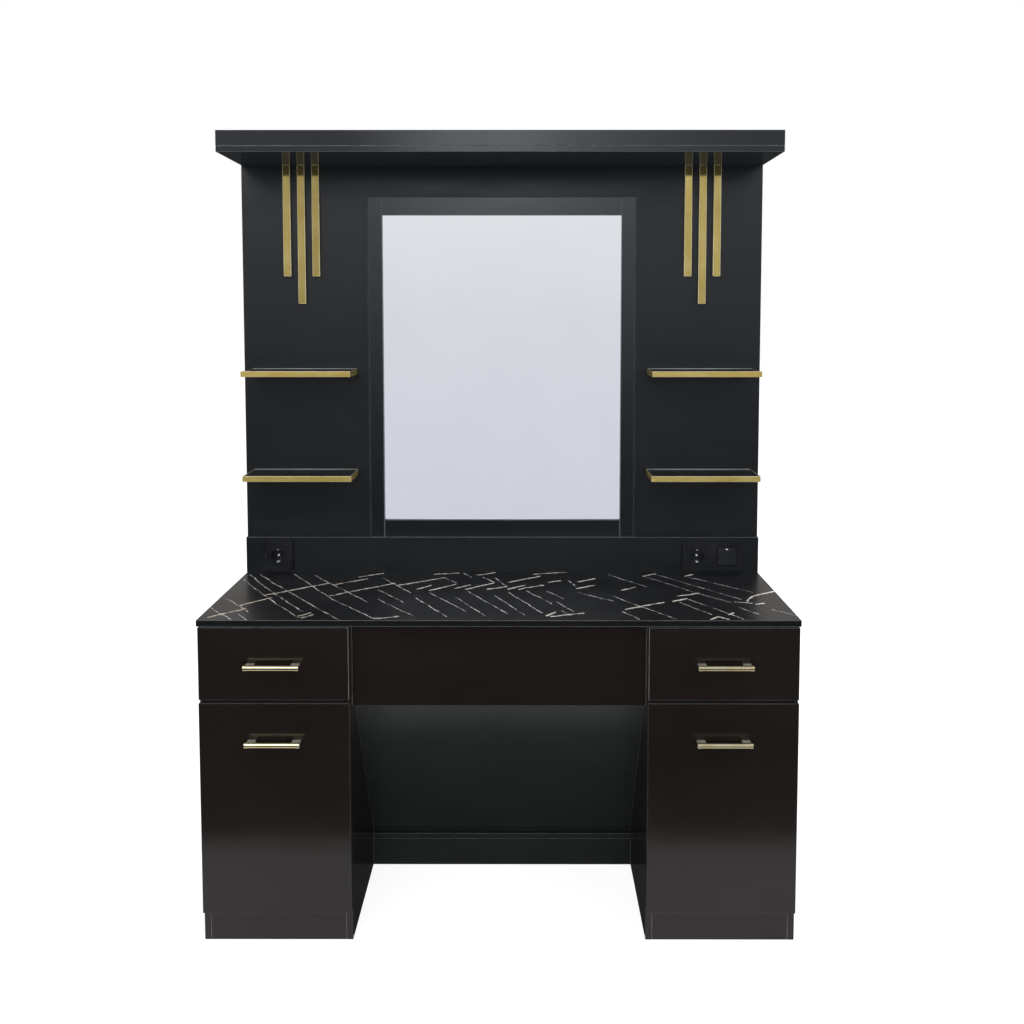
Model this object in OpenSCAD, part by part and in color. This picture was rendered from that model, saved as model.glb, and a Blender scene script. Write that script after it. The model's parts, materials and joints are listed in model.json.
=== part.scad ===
// Salon styling station: two pedestal cabinets under a marble-look worktop, a tall back
// panel with framed mirror, wall shelves, gold strips and pelmet, and mains outlets.
// Origin: floor level, centre of the overall footprint. +X right, +Y to the wall, +Z up.

/* [Overall] */
// Width of the worktop, back panel and pelmet
width = 1500; // [1400:10:1700]
// Height from the floor to the top of the pelmet
height = 2075; // [2050:5:2150]
// Depth from the drawer fronts to the wall
depth = 500; // [490:5:560]
// Thickness of the laminated boards
board = 16; // [15:0.5:17]

/* [Worktop] */
// Height of the working surface
top_h = 835; // [825:5:850]
// How far the worktop stands in front of the drawer fronts
top_lip = 2; // [0:0.5:5]
// Height of the splash board that stands on the worktop
upstand_h = 105; // [100:1:110]

/* [Pelmet] */
// Height of the pelmet box
pelmet_h = 57; // [50:1:70]
// How far the pelmet stands out from the back panel
pelmet_out = 235; // [150:5:280]

/* [Mirror] */
// Width of the visible glass
mirror_w = 688; // [600:2:720]
// Height of the visible glass
mirror_h = 884; // [800:2:900]
// Face width of the frame stiles
stile_w = 40; // [30:1:46]
// Face width of the frame rails
rail_w = 51; // [40:1:60]
// How far the backing board shows outside the stiles
backing_lip = 6; // [2:1:10]

/* [Gold strips] */
// Width of one strip
strip_w = 22; // [14:1:30]
// Distance between strip centres
strip_pitch = 41.5; // [32:0.5:50]
// Length of the two outer strips of a group
strip_short = 318; // [200:1:400]
// Length of the middle strip of a group
strip_long = 397; // [250:1:500]

/* [Wall shelves] */
// Width over the trim
shelf_w = 306; // [250:2:320]
// Depth from the back panel
shelf_d = 122; // [90:1:150]
// Height of the lower shelf's top
shelf_low_z = 1137; // [1080:1:1200]
// Height of the upper shelf's top
shelf_high_z = 1432; // [1380:1:1500]

/* [Cabinets] */
// Width of one pedestal cabinet
cab_w = 378; // [360:2:400]
// Height of the plinth
plinth_h = 80; // [70:1:100]
// Height of the drawer front
drawer_h = 184; // [170:1:190]
// Gap between the drawer front and the door
front_gap = 9; // [6:1:12]

/* [Kneehole] */
// Height of the apron's lower edge
apron_z = 603; // [580:1:640]
// How far the apron stands back from the drawer fronts
apron_back = 38; // [30:1:60]
// How far the foot of the sloping panel stands back from the drawer fronts
knee_foot_back = 372; // [330:2:400]

/* [Handles] */
// Length of the bar
handle_len = 138; // [110:2:180]
// How far the handle stands out
handle_out = 32; // [28:1:36]
// Diameter of the bar
handle_dia = 13; // [10:0.5:14]

/* [Outlets] */
// Side of a square wall plate
plate_w = 86; // [80:1:88]
// Distance of the outermost plate centres from the middle
outlet_x = 656; // [640:1:660]

/* [Hidden] */
$fn = 64;
LEFT = -1;
RIGHT = 1;
SIDES = [LEFT, RIGHT];
snug = 0.1;          // gap between glued or screwed boards of one assembly
cut = 1;             // how far a cutter runs past a face
laminate = [0.10, 0.10, 0.11];
brown_black = [0.11, 0.09, 0.08];
gold = [0.72, 0.60, 0.32];
steel = [0.72, 0.72, 0.74];
raw_wood = [0.72, 0.58, 0.40];
plastic = [0.07, 0.07, 0.07];

// Planes from front to wall
batten_t = 18;
rear_y = (depth + handle_out) / 2;
front_y = rear_y - depth;
panel_y = rear_y - batten_t - board;
upstand_y = panel_y - board;
front_back_y = front_y + board;
carcass_gap = 3;
carcass_y = front_back_y + carcass_gap;
carcass_d = panel_y - carcass_y;

// Worktop and pelmet levels
under_top = top_h - board;
upstand_top = top_h + upstand_h;
pelmet_z = height - pelmet_h;
pelmet_y = panel_y - pelmet_out;
pelmet_inner_z = pelmet_z + board;

// Mirror
backing_t = 4;
frame_t = 12;
glass_t = 4;
rebate = 7;
rebate_slack = 0.5;
frame_y = panel_y - backing_t - frame_t;
frame_w = mirror_w + 2 * stile_w;
frame_h = mirror_h + 2 * rail_w;
glass_z = upstand_top + rail_w;

// Gold strips
strip_out = 11;
strip_group_x = width / 2 - 173;

// Wall shelves
shelf_x = width / 2 - 175;
trim_t = 2;
pin_r = 4;
pin_in_shelf = 60;
pin_in_panel = 12;
pin_span = 200;
pin_slack = 0.05;
SHELF_TOPS = [shelf_low_z, shelf_high_z];

// Cabinets
cab_x = (width - cab_w) / 2;
clear_w = cab_w - 2 * board;
knee_w = width - 2 * cab_w;
front_w = 375;
front_x = cab_x - 0.75;
drawer_top = under_top - 3.3;
drawer_z = drawer_top - drawer_h;
door_top = drawer_z - front_gap;
door_z = plinth_h + 1;
door_h = door_top - door_z;
divider_z = (drawer_z + door_top - board) / 2;
rail_d = 100;
wood_shelf_z = 345;
wood_shelf_inset = 30;
stud_r = 2.5;
stud_half = 8;
stud_inset = 37;

// Kneehole
apron_y = front_y + apron_back;
knee_plinth_y = front_y + knee_foot_back - 12;
knee_floor_z = plinth_h - 3;
knee_foot_y = front_y + knee_foot_back;
knee_foot_z = knee_floor_z + board;
knee_top_y = apron_y + board;
knee_top_z = apron_z + 25;

// Drawer box and ball slides
slide_len = 400;
slide_t = 13;
slide_h = 45;
slide_gauge = 1.2;
slide_y = carcass_y + 2;
slide_z = divider_z + board + 50;
box_t = 12;
box_h = 120;
box_z = divider_z + board + 15;
box_w = clear_w - 2 * slide_t;
box_d = 400;
bottom_t = 4;
bottom_z = box_z + 8;
groove = 6;

// Handles
handle_x = 560;
collar_len = 10;
collar_r = handle_dia / 2 + 0.5;
bar_y = front_y - handle_out + collar_r;
leg_w = 20;
leg_t = 7;
leg_inset = 3;
drawer_handle_z = drawer_top - 93.5;
door_handle_z = door_top - 95.5;

// Concealed hinges
hinge_inset = 100;
cup_r = 17.5;
cup_depth = 11.5;
cup_wall = 1.5;
cup_edge = 22.5;
cup_x = front_x + front_w / 2 - cup_edge;
flange_t = 1;
flange_w = 14;
flange_h = 52;
knuckle_w = 9;
knuckle_h = 12;
arm_len = 62;
arm_t = 10;
HINGE_ZS = [door_z + hinge_inset, door_top - hinge_inset];

// Outlets and switch
outlet_z = top_h + 51;
plate_t = 9;
plate_y = upstand_y - plate_t;
plate_round = 4;
plate_hole = 56;
box_hole_r = 34;
back_box_r = 33.5;
back_box_len = 44;
back_box_wall = 2;
well_r = 20;
well_depth = 16;
ring_r = 23;
ring_out = 2;
insert_w = 55;
module_w = 44;
module_y = upstand_y - 2.5;
module_len = 26;
rocker_w = 53;
rocker_h = 52;
rocker_t = 5;
rocker_tilt = 4;
rocker_axis_y = plate_y + 3;
rib_r = 3;
socket_xs = [-outlet_x, outlet_x - plate_w];
switch_x = outlet_x;
OUTLET_XS = [socket_xs[0], socket_xs[1], switch_x];

// Wall fixing
fix_r = 4;
fix_x = cab_x;
fix_low_z = plinth_h + 60;
fix_span_z = 640;
batten_h = 80;
BATTEN_ZS = [fix_low_z - batten_h / 2, fix_low_z + fix_span_z - batten_h / 2, pelmet_z - batten_h - 8];

// ---- Shared shapes ----

// Box centred on x, from y and z upwards
module slab(x, y, z, size) {
    translate([x - size[0] / 2, y, z]) cube(size);
}

// Cylinder along +Y starting at y
module rod_y(x, y, z, r, len) {
    translate([x, y, z]) rotate([-90, 0, 0]) cylinder(r = r, h = len);
}

// Square plate facing -Y with rounded corners, centred on x and z, front face at y
module rounded_plate(x, y, z, w, h, t, r) {
    union() {
        slab(x, y, z - h / 2 + r, [w, t, h - 2 * r]);
        slab(x, y, z - h / 2, [w - 2 * r, t, h]);
        for (i = SIDES, j = SIDES)
            rod_y(x + i * (w / 2 - r), y, z + j * (h / 2 - r), r, t);
    }
}

// Holes for the three back boxes through the boards between y and y + len
module box_holes(y, len) {
    for (x = OUTLET_XS) rod_y(x, y - cut, outlet_z, box_hole_r, len + 2 * cut);
}

// Holes for the four wall screws
module wall_screw_holes(y, len) {
    for (i = SIDES, z = [fix_low_z, fix_low_z + fix_span_z])
        rod_y(i * fix_x, y - cut, z, fix_r, len + 2 * cut);
}

// Both shelf pins of one shelf, grown by slack
module shelf_pin_pair(x, z, slack) {
    for (i = SIDES)
        rod_y(x + i * pin_span / 2, panel_y - pin_in_shelf - slack, z - board / 2,
              pin_r + slack, pin_in_shelf + pin_in_panel + 2 * slack);
}

// ---- Worktop, back panel and battens ----

module worktop() {
    color([0.12, 0.12, 0.13])
        slab(0, front_y - top_lip, under_top, [width, panel_y - front_y + top_lip, board]);
}

module upstand() {
    color(laminate) difference() {
        slab(0, upstand_y, top_h, [width, board, upstand_h]);
        box_holes(upstand_y, board);
    }
}

module back_panel() {
    color(laminate) difference() {
        slab(0, panel_y, 0, [width, board, pelmet_z]);
        box_holes(panel_y, board);
        wall_screw_holes(panel_y, board);
        for (s = SIDES, z = SHELF_TOPS) shelf_pin_pair(s * shelf_x, z, pin_slack);
    }
}

module wall_battens() {
    color(raw_wood) difference() {
        for (z = BATTEN_ZS) slab(0, panel_y + board, z, [width - 40, batten_t, batten_h]);
        wall_screw_holes(panel_y + board, batten_t);
    }
}

// ---- Pelmet ----

module pelmet_bottom() {
    color(laminate) slab(0, pelmet_y, pelmet_z, [width, rear_y - pelmet_y, board]);
}

module pelmet_fascia() {
    color(laminate) slab(0, pelmet_y, pelmet_inner_z, [width, board, height - pelmet_inner_z]);
}

module pelmet_ends() {
    y = pelmet_y + board;
    color(laminate) for (s = SIDES)
        slab(s * (width - board) / 2, y, pelmet_inner_z, [board, rear_y - y, height - pelmet_inner_z]);
}

module pelmet_rear_rail() {
    color(laminate)
        slab(0, rear_y - board, pelmet_inner_z, [width - 2 * board, board, height - pelmet_inner_z]);
}

module pelmet_top() {
    y = pelmet_y + board;
    color(laminate)
        slab(0, y, height - board, [width - 2 * board, rear_y - board - y, board]);
}

// ---- Gold strips ----

module gold_strips(s) {
    color(gold) for (i = [-1:1]) {
        len = i == 0 ? strip_long : strip_short;
        slab(s * strip_group_x + i * strip_pitch, panel_y - strip_out, pelmet_z - len,
             [strip_w, strip_out, len]);
    }
}

module gold_strips_left() { gold_strips(LEFT); }
module gold_strips_right() { gold_strips(RIGHT); }

// ---- Mirror ----

// Space the glass takes in the rebate behind the frame
module glass_pocket(slack) {
    side = 2 * (rebate + slack);
    slab(0, frame_y + frame_t - glass_t - slack, glass_z - rebate - slack,
         [mirror_w + side, glass_t + 2 * slack, mirror_h + side]);
}

module mirror_glass() {
    color([0.82, 0.82, 0.87])
        slab(0, frame_y + frame_t - glass_t, glass_z - rebate,
             [mirror_w + 2 * rebate, glass_t, mirror_h + 2 * rebate]);
}

module mirror_backing() {
    color(laminate)
        slab(0, panel_y - backing_t, upstand_top, [frame_w + 2 * backing_lip, backing_t, frame_h]);
}

module frame_stiles() {
    color(laminate) difference() {
        for (s = SIDES)
            slab(s * (mirror_w + stile_w) / 2, frame_y, upstand_top, [stile_w, frame_t, frame_h]);
        glass_pocket(rebate_slack);
    }
}

module frame_rail(z) {
    color(laminate) difference() {
        slab(0, frame_y, z, [mirror_w, frame_t, rail_w]);
        glass_pocket(rebate_slack);
    }
}

module frame_rail_top() { frame_rail(glass_z + mirror_h); }
module frame_rail_bottom() { frame_rail(upstand_top); }

// ---- Wall shelves ----

module wall_shelves(s) {
    color(laminate) difference() {
        for (z = SHELF_TOPS)
            slab(s * shelf_x, panel_y - shelf_d + trim_t, z - board,
                 [shelf_w - 2 * trim_t, shelf_d - trim_t, board]);
        for (z = SHELF_TOPS) shelf_pin_pair(s * shelf_x, z, pin_slack);
    }
}

module shelf_trims(s) {
    color(gold) difference() {
        for (z = SHELF_TOPS)
            slab(s * shelf_x, panel_y - shelf_d, z - board, [shelf_w, shelf_d, board]);
        for (z = SHELF_TOPS)
            slab(s * shelf_x, panel_y - shelf_d + trim_t, z - board - cut,
                 [shelf_w - 2 * trim_t, shelf_d, board + 2 * cut]);
    }
}

module wall_shelves_left() { wall_shelves(LEFT); }
module wall_shelves_right() { wall_shelves(RIGHT); }
module shelf_trims_left() { shelf_trims(LEFT); }
module shelf_trims_right() { shelf_trims(RIGHT); }

module shelf_pins() {
    color(steel) for (s = SIDES, z = SHELF_TOPS) shelf_pin_pair(s * shelf_x, z, 0);
}

// ---- Cabinets ----

// Bores for the studs that carry the loose inner shelves, and the studs themselves
module stud_set(slack) {
    z = wood_shelf_z - stud_r;
    for (s = SIDES, w = SIDES,
         y = [carcass_y + wood_shelf_inset + stud_inset, panel_y - stud_inset])
        translate([s * cab_x + w * clear_w / 2, y, z]) rotate([0, 90, 0])
            cylinder(r = stud_r + slack, h = 2 * (stud_half + slack), center = true);
}

module cabinet_side(x) {
    color(brown_black) difference() {
        slab(x, carcass_y, 0, [board, carcass_d, under_top]);
        stud_set(pin_slack);
    }
}

module side_outer_left() { cabinet_side(-cab_x - (cab_w - board) / 2); }
module side_inner_left() { cabinet_side(-cab_x + (cab_w - board) / 2); }
module side_inner_right() { cabinet_side(cab_x - (cab_w - board) / 2); }
module side_outer_right() { cabinet_side(cab_x + (cab_w - board) / 2); }

module cabinet_floors() {
    color(laminate) for (s = SIDES)
        slab(s * cab_x, carcass_y, plinth_h, [clear_w, carcass_d, board]);
}

module cabinet_dividers() {
    color(laminate) for (s = SIDES)
        slab(s * cab_x, carcass_y, divider_z, [clear_w, carcass_d, board]);
}

module top_rails() {
    color(laminate) for (s = SIDES, y = [carcass_y, panel_y - rail_d])
        slab(s * cab_x, y, under_top - board, [clear_w, rail_d, board]);
}

module cabinet_plinths() {
    color(brown_black) for (s = SIDES)
        slab(s * cab_x, carcass_y, 0, [clear_w, board, plinth_h]);
}

module inner_shelves() {
    y = carcass_y + wood_shelf_inset;
    color(laminate) for (s = SIDES)
        slab(s * cab_x, y, wood_shelf_z, [clear_w - 2, panel_y - cut - y, board]);
}

module shelf_studs() {
    color(steel) stud_set(0);
}

// ---- Kneehole ----

module apron() {
    color(brown_black) slab(0, apron_y, apron_z, [knee_w, board, under_top - apron_z]);
}

// Sloping panel: upper edge against the back of the apron, lower edge on the kneehole floor
module knee_panel() {
    run = knee_foot_y - knee_top_y;
    drop = knee_top_z - knee_foot_z;
    slope = atan(run / drop);
    outline = [[knee_top_y, knee_top_z],
               [knee_foot_y, knee_foot_z],
               [knee_foot_y + board / cos(slope), knee_foot_z],
               [knee_top_y, knee_top_z + board / sin(slope)]];
    color(laminate) translate([-knee_w / 2, 0, 0])
        rotate([90, 0, 90]) linear_extrude(knee_w) polygon(outline);
}

module knee_floor() {
    color(laminate)
        slab(0, knee_plinth_y, knee_floor_z, [knee_w, panel_y - knee_plinth_y, board]);
}

module knee_plinth() {
    color(laminate) slab(0, knee_plinth_y, 0, [knee_w, board, knee_floor_z]);
}

// ---- Drawers ----

// Places its children at both slides of one cabinet, with local +X from the cabinet
// side towards the drawer box and local +Y along the slide
module at_slides(s) {
    for (w = SIDES)
        translate([s * cab_x + w * clear_w / 2, slide_y, slide_z]) mirror([(w + 1) / 2, 0, 0])
            children();
}

// C section along Y: web from x0, flanges from x0 to x1, total height h
module c_section(x0, x1, web_x, h) {
    union() {
        translate([web_x, 0, -h / 2]) cube([slide_gauge, slide_len, h]);
        for (j = [0, 1])
            translate([x0, 0, j * (h - slide_gauge) - h / 2]) cube([x1 - x0, slide_len, slide_gauge]);
    }
}

module slide_outers() {
    color(steel) for (s = SIDES) at_slides(s) c_section(0, 9, 0, slide_h);
}

module slide_middles(s) {
    color(steel) at_slides(s) c_section(1.8, 10.4, 1.8, slide_h - 3.4);
}

module slide_inners(s) {
    color(steel) at_slides(s) c_section(4, slide_t, slide_t - slide_gauge, slide_h - 7);
}

module slide_middles_left() { slide_middles(LEFT); }
module slide_middles_right() { slide_middles(RIGHT); }
module slide_inners_left() { slide_inners(LEFT); }
module slide_inners_right() { slide_inners(RIGHT); }

module drawer_front(s) {
    color(brown_black) slab(s * front_x, front_y, drawer_z, [front_w, board, drawer_h]);
}

module drawer_front_left() { drawer_front(LEFT); }
module drawer_front_right() { drawer_front(RIGHT); }

// Four boards, and a thin bottom held in a groove round their inner faces
module drawer_box(s) {
    x = s * cab_x;
    inner_w = box_w - 2 * box_t;
    inner_d = box_d - 2 * box_t;
    color([0.30, 0.30, 0.31]) {
        difference() {
            union() {
                for (w = SIDES)
                    slab(x + w * (box_w - box_t) / 2, front_back_y, box_z, [box_t, box_d, box_h]);
                for (y = [front_back_y, front_back_y + box_d - box_t])
                    slab(x, y, box_z, [inner_w - 2 * snug, box_t, box_h]);
            }
            slab(x, front_back_y + box_t - groove, bottom_z,
                 [inner_w + 2 * groove, inner_d + 2 * groove, bottom_t]);
        }
        slab(x, front_back_y + box_t - groove + snug, bottom_z + snug,
             [inner_w + 2 * (groove - snug), inner_d + 2 * (groove - snug), bottom_t - 2 * snug]);
    }
}

module drawer_box_left() { drawer_box(LEFT); }
module drawer_box_right() { drawer_box(RIGHT); }

// ---- Doors and hinges ----

module cup_bores(s) {
    for (z = HINGE_ZS)
        rod_y(s * cup_x, front_back_y - cup_depth, z, cup_r, cup_depth + cut);
}

module door(s) {
    color(brown_black) difference() {
        slab(s * front_x, front_y, door_z, [front_w, board, door_h]);
        cup_bores(s);
    }
}

module door_left() { door(LEFT); }
module door_right() { door(RIGHT); }

// Cup pressed into the door, its screw flange, and the link knuckle that stands in the cup
module hinge_cups(s) {
    cup_y = front_back_y - cup_depth;
    color(steel) for (z = HINGE_ZS) {
        difference() {
            union() {
                rod_y(s * cup_x, cup_y, z, cup_r - snug, cup_depth + flange_t);
                rounded_plate(s * cup_x, front_back_y, z, flange_w, flange_h, flange_t, 3);
            }
            rod_y(s * cup_x, cup_y + cup_wall, z, cup_r - snug - cup_wall, cup_depth + flange_t);
        }
        slab(s * (cup_x + 4), cup_y + cup_wall - snug, z - knuckle_h / 2,
             [knuckle_w, cup_depth - cup_wall, knuckle_h]);
    }
}

module hinge_cups_left() { hinge_cups(LEFT); }
module hinge_cups_right() { hinge_cups(RIGHT); }

// Mounting plate on the cabinet side with the hinge arm that reaches forward from it
module hinge_arm(s, z) {
    wall_x = cab_x + clear_w / 2;
    plate_size = [3, 40, 46];
    arm_h = 13;
    nose_y = carcass_y - 1;
    union() {
        slab(s * (wall_x - plate_size[0] / 2), carcass_y + 17, z - plate_size[2] / 2, plate_size);
        slab(s * (wall_x - arm_t / 2 - 1), nose_y, z - arm_h / 2, [arm_t, arm_len, arm_h]);
        slab(s * (wall_x - 2), carcass_y + 17, z - arm_h / 2, [4, plate_size[1], arm_h]);
    }
}

module hinge_arms() {
    color(steel) for (s = SIDES, z = HINGE_ZS) hinge_arm(s, z);
}

// ---- Handles ----

module handle(x, z) {
    half = handle_len / 2;
    bar_r = handle_dia / 2;
    leg_x = half - leg_inset - leg_w / 2;
    profile = [[0, -half], [collar_r - 1, -half], [collar_r, -half + 1], [collar_r, -half + collar_len],
               [bar_r, -half + collar_len], [bar_r, half - collar_len], [collar_r, half - collar_len],
               [collar_r, half - 1], [collar_r - 1, half], [0, half]];
    color(gold) union() {
        translate([x, bar_y, z]) rotate([0, 90, 0]) rotate_extrude() polygon(profile);
        for (i = SIDES) slab(x + i * leg_x, bar_y, z - leg_t / 2, [leg_w, front_y - bar_y, leg_t]);
    }
}

module handle_drawer_left() { handle(-handle_x, drawer_handle_z); }
module handle_drawer_right() { handle(handle_x, drawer_handle_z); }
module handle_door_left() { handle(-handle_x, door_handle_z); }
module handle_door_right() { handle(handle_x, door_handle_z); }

// ---- Outlets and switch ----

module outlet_boxes() {
    color([0.85, 0.45, 0.15]) for (x = OUTLET_XS) difference() {
        rod_y(x, upstand_y, outlet_z, back_box_r, back_box_len);
        rod_y(x, upstand_y - cut, outlet_z, back_box_r - back_box_wall,
              back_box_len - back_box_wall + cut);
    }
}

module wall_plates() {
    color(plastic) for (x = OUTLET_XS) difference() {
        rounded_plate(x, plate_y, outlet_z, plate_w - snug, plate_w - snug, plate_t, plate_round);
        slab(x, plate_y - cut, outlet_z - plate_hole / 2, [plate_hole, plate_t + 2 * cut, plate_hole]);
    }
}

// Square cover with the round earthed well, and the connector block behind it
module socket_insert(x) {
    well_end_y = plate_y - ring_out + well_depth;
    well_wall = 2;
    difference() {
        union() {
            rounded_plate(x, plate_y + 1, outlet_z, insert_w, insert_w, plate_t - 1, 2);
            rod_y(x, plate_y - ring_out, outlet_z, ring_r, ring_out + 2);
            rod_y(x, plate_y, outlet_z, well_r + well_wall, well_end_y - plate_y + well_wall);
            slab(x, well_end_y, outlet_z - module_w / 2, [module_w, 20, module_w]);
        }
        rod_y(x, plate_y - ring_out - cut, outlet_z, well_r, well_depth + cut);
        for (i = SIDES) rod_y(x + i * 9.5, well_end_y - cut, outlet_z, 2.6, 16);
    }
}

module socket_inserts() {
    color(plastic) for (x = socket_xs) socket_insert(x);
}

// Centre screw and the two sprung earth clips of each socket
module socket_contacts() {
    well_end_y = plate_y - ring_out + well_depth;
    color(steel) for (x = socket_xs) {
        rod_y(x, well_end_y - 2.5, outlet_z, 3.2, 2.5);
        for (j = SIDES)
            slab(x, plate_y + 1, outlet_z + j * (well_r - 2.2) - 1, [7, well_end_y - plate_y - 1, 2]);
    }
}

module switch_module() {
    color(plastic)
        slab(switch_x, module_y, outlet_z - module_w / 2, [module_w, module_len, module_w]);
}

// Rocker plate with a rib along its tilting axis, built in its switched-off tilt
module switch_rocker() {
    color(plastic) translate([switch_x, rocker_axis_y, outlet_z]) rotate([-rocker_tilt, 0, 0]) {
        rounded_plate(0, -rocker_t, 0, rocker_w, rocker_h, rocker_t, 2);
        translate([-15, 0, 0]) rotate([0, 90, 0]) cylinder(r = rib_r, h = 30);
    }
}

worktop();
upstand();
back_panel();
wall_battens();
pelmet_bottom();
pelmet_fascia();
pelmet_top();
pelmet_ends();
pelmet_rear_rail();
gold_strips_left();
gold_strips_right();
mirror_glass();
mirror_backing();
frame_stiles();
frame_rail_top();
frame_rail_bottom();
wall_shelves_left();
wall_shelves_right();
shelf_trims_left();
shelf_trims_right();
shelf_pins();
side_outer_left();
side_inner_left();
side_inner_right();
side_outer_right();
cabinet_floors();
cabinet_dividers();
top_rails();
cabinet_plinths();
inner_shelves();
shelf_studs();
apron();
knee_panel();
knee_floor();
knee_plinth();
slide_outers();
hinge_arms();
outlet_boxes();
wall_plates();
socket_inserts();
socket_contacts();
switch_module();
switch_rocker();
drawer_front_left();
drawer_front_right();
drawer_box_left();
drawer_box_right();
slide_middles_left();
slide_middles_right();
slide_inners_left();
slide_inners_right();
handle_drawer_left();
handle_drawer_right();
handle_door_left();
handle_door_right();
door_left();
door_right();
hinge_cups_left();
hinge_cups_right();
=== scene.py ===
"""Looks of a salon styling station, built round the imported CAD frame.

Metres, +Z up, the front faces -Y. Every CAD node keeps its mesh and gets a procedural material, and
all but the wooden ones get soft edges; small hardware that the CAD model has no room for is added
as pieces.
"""
import bmesh
import bpy
import json
import math
from mathutils import Matrix, Vector


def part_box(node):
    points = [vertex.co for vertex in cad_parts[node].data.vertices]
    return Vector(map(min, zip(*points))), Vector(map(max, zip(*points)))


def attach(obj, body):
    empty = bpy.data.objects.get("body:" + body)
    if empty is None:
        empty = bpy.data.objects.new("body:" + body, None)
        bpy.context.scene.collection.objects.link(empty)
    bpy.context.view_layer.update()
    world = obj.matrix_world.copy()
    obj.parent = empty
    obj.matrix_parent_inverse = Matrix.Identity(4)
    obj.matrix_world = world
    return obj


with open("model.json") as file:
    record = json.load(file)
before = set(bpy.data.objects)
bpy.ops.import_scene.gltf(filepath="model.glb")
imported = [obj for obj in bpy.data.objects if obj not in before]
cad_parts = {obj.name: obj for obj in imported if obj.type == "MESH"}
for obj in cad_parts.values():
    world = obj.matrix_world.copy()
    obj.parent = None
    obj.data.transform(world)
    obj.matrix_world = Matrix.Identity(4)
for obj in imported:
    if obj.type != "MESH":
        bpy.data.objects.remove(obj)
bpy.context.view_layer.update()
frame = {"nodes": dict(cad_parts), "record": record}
nodes = frame["nodes"]
scene = bpy.context.scene
MM = 0.001
BOARD = 16 * MM         # thickness of the wall shelves, as of most boards
SIDES = (("left", -1), ("right", 1))


# ---------------------------------------------------------------- node helpers

class Shader:
    """A material under construction, with short calls for the nodes used here."""

    def __init__(self, name):
        self.material = bpy.data.materials.new(name)
        self.material.use_nodes = True
        self.tree = self.material.node_tree
        self.bsdf = self.tree.nodes["Principled BSDF"]
        coordinates = self.add("ShaderNodeTexCoord").outputs
        self.position = coordinates["Object"]
        self.normal = self.add("ShaderNodeSeparateXYZ", {"Vector": coordinates["Normal"]}).outputs

    def add(self, kind, inputs=None, **settings):
        node = self.tree.nodes.new(kind)
        for key, value in settings.items():
            setattr(node, key, value)
        for key, value in (inputs or {}).items():
            self.feed(node.inputs[key], value)
        return node

    def feed(self, socket, value):
        if isinstance(value, bpy.types.NodeSocket):
            self.tree.links.new(value, socket)
        else:
            socket.default_value = value

    def set(self, **values):
        """Sets or links the Principled shader's sockets; an underscore stands for a space."""
        for key, value in values.items():
            self.feed(self.bsdf.inputs[key.replace("_", " ")], value)

    def place(self, axis):
        """One coordinate of the shaded point."""
        return self.add("ShaderNodeSeparateXYZ", {"Vector": self.position}).outputs[axis]

    def stretch(self, scale):
        """The position with each axis scaled: a factor below 1 draws a texture out along it."""
        return self.add("ShaderNodeMapping", {"Vector": self.position, "Scale": scale}).outputs[0]

    def noise(self, scale, detail=3.0, rough=0.5, vector=None, colour=False):
        node = self.add("ShaderNodeTexNoise", {
            "Vector": vector or self.position,
            "Scale": scale, "Detail": detail, "Roughness": rough})
        return node.outputs["Color" if colour else "Fac"]

    def cells(self, scale, vector=None, feature="F1"):
        node = self.add("ShaderNodeTexVoronoi", {
            "Vector": vector or self.position, "Scale": scale}, feature=feature)
        return node.outputs["Distance"]

    def span(self, value, lo, hi, to_lo, to_hi, smooth=False):
        """Maps lo..hi to to_lo..to_hi and holds the end values outside."""
        node = self.add("ShaderNodeMapRange", {
            "Value": value, "From Min": lo, "From Max": hi, "To Min": to_lo, "To Max": to_hi})
        node.interpolation_type = "SMOOTHSTEP" if smooth else "LINEAR"
        return node.outputs["Result"]

    def math(self, operation, a, b=0.0):
        node = self.add("ShaderNodeMath", operation=operation)
        self.feed(node.inputs[0], a)
        self.feed(node.inputs[1], b)
        return node.outputs[0]

    def vector(self, operation, a, b=None, scale=None):
        node = self.add("ShaderNodeVectorMath", operation=operation)
        self.feed(node.inputs[0], a)
        if b is not None:
            self.feed(node.inputs[1], b)
        if scale is not None:
            self.feed(node.inputs["Scale"], scale)
        return node.outputs["Value" if operation in ("DOT_PRODUCT", "LENGTH") else "Vector"]

    def mix(self, factor, a, b):
        node = self.add("ShaderNodeMix", data_type="RGBA")
        self.feed(node.inputs["Factor"], factor)
        self.feed(node.inputs["A"], opaque(a))
        self.feed(node.inputs["B"], opaque(b))
        return node.outputs["Result"]

    def bump(self, height, strength, distance):
        """Finishes the shader with a relief; distance is the depth of its full height."""
        node = self.add("ShaderNodeBump", {
            "Height": height, "Strength": strength, "Distance": distance})
        self.set(Normal=node.outputs[0])
        return self


def opaque(colour):
    """A colour of three numbers gets its alpha; a socket stays as it is."""
    return (*colour, 1.0) if isinstance(colour, tuple) and len(colour) == 3 else colour


# ---------------------------------------------------------------- materials

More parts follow.
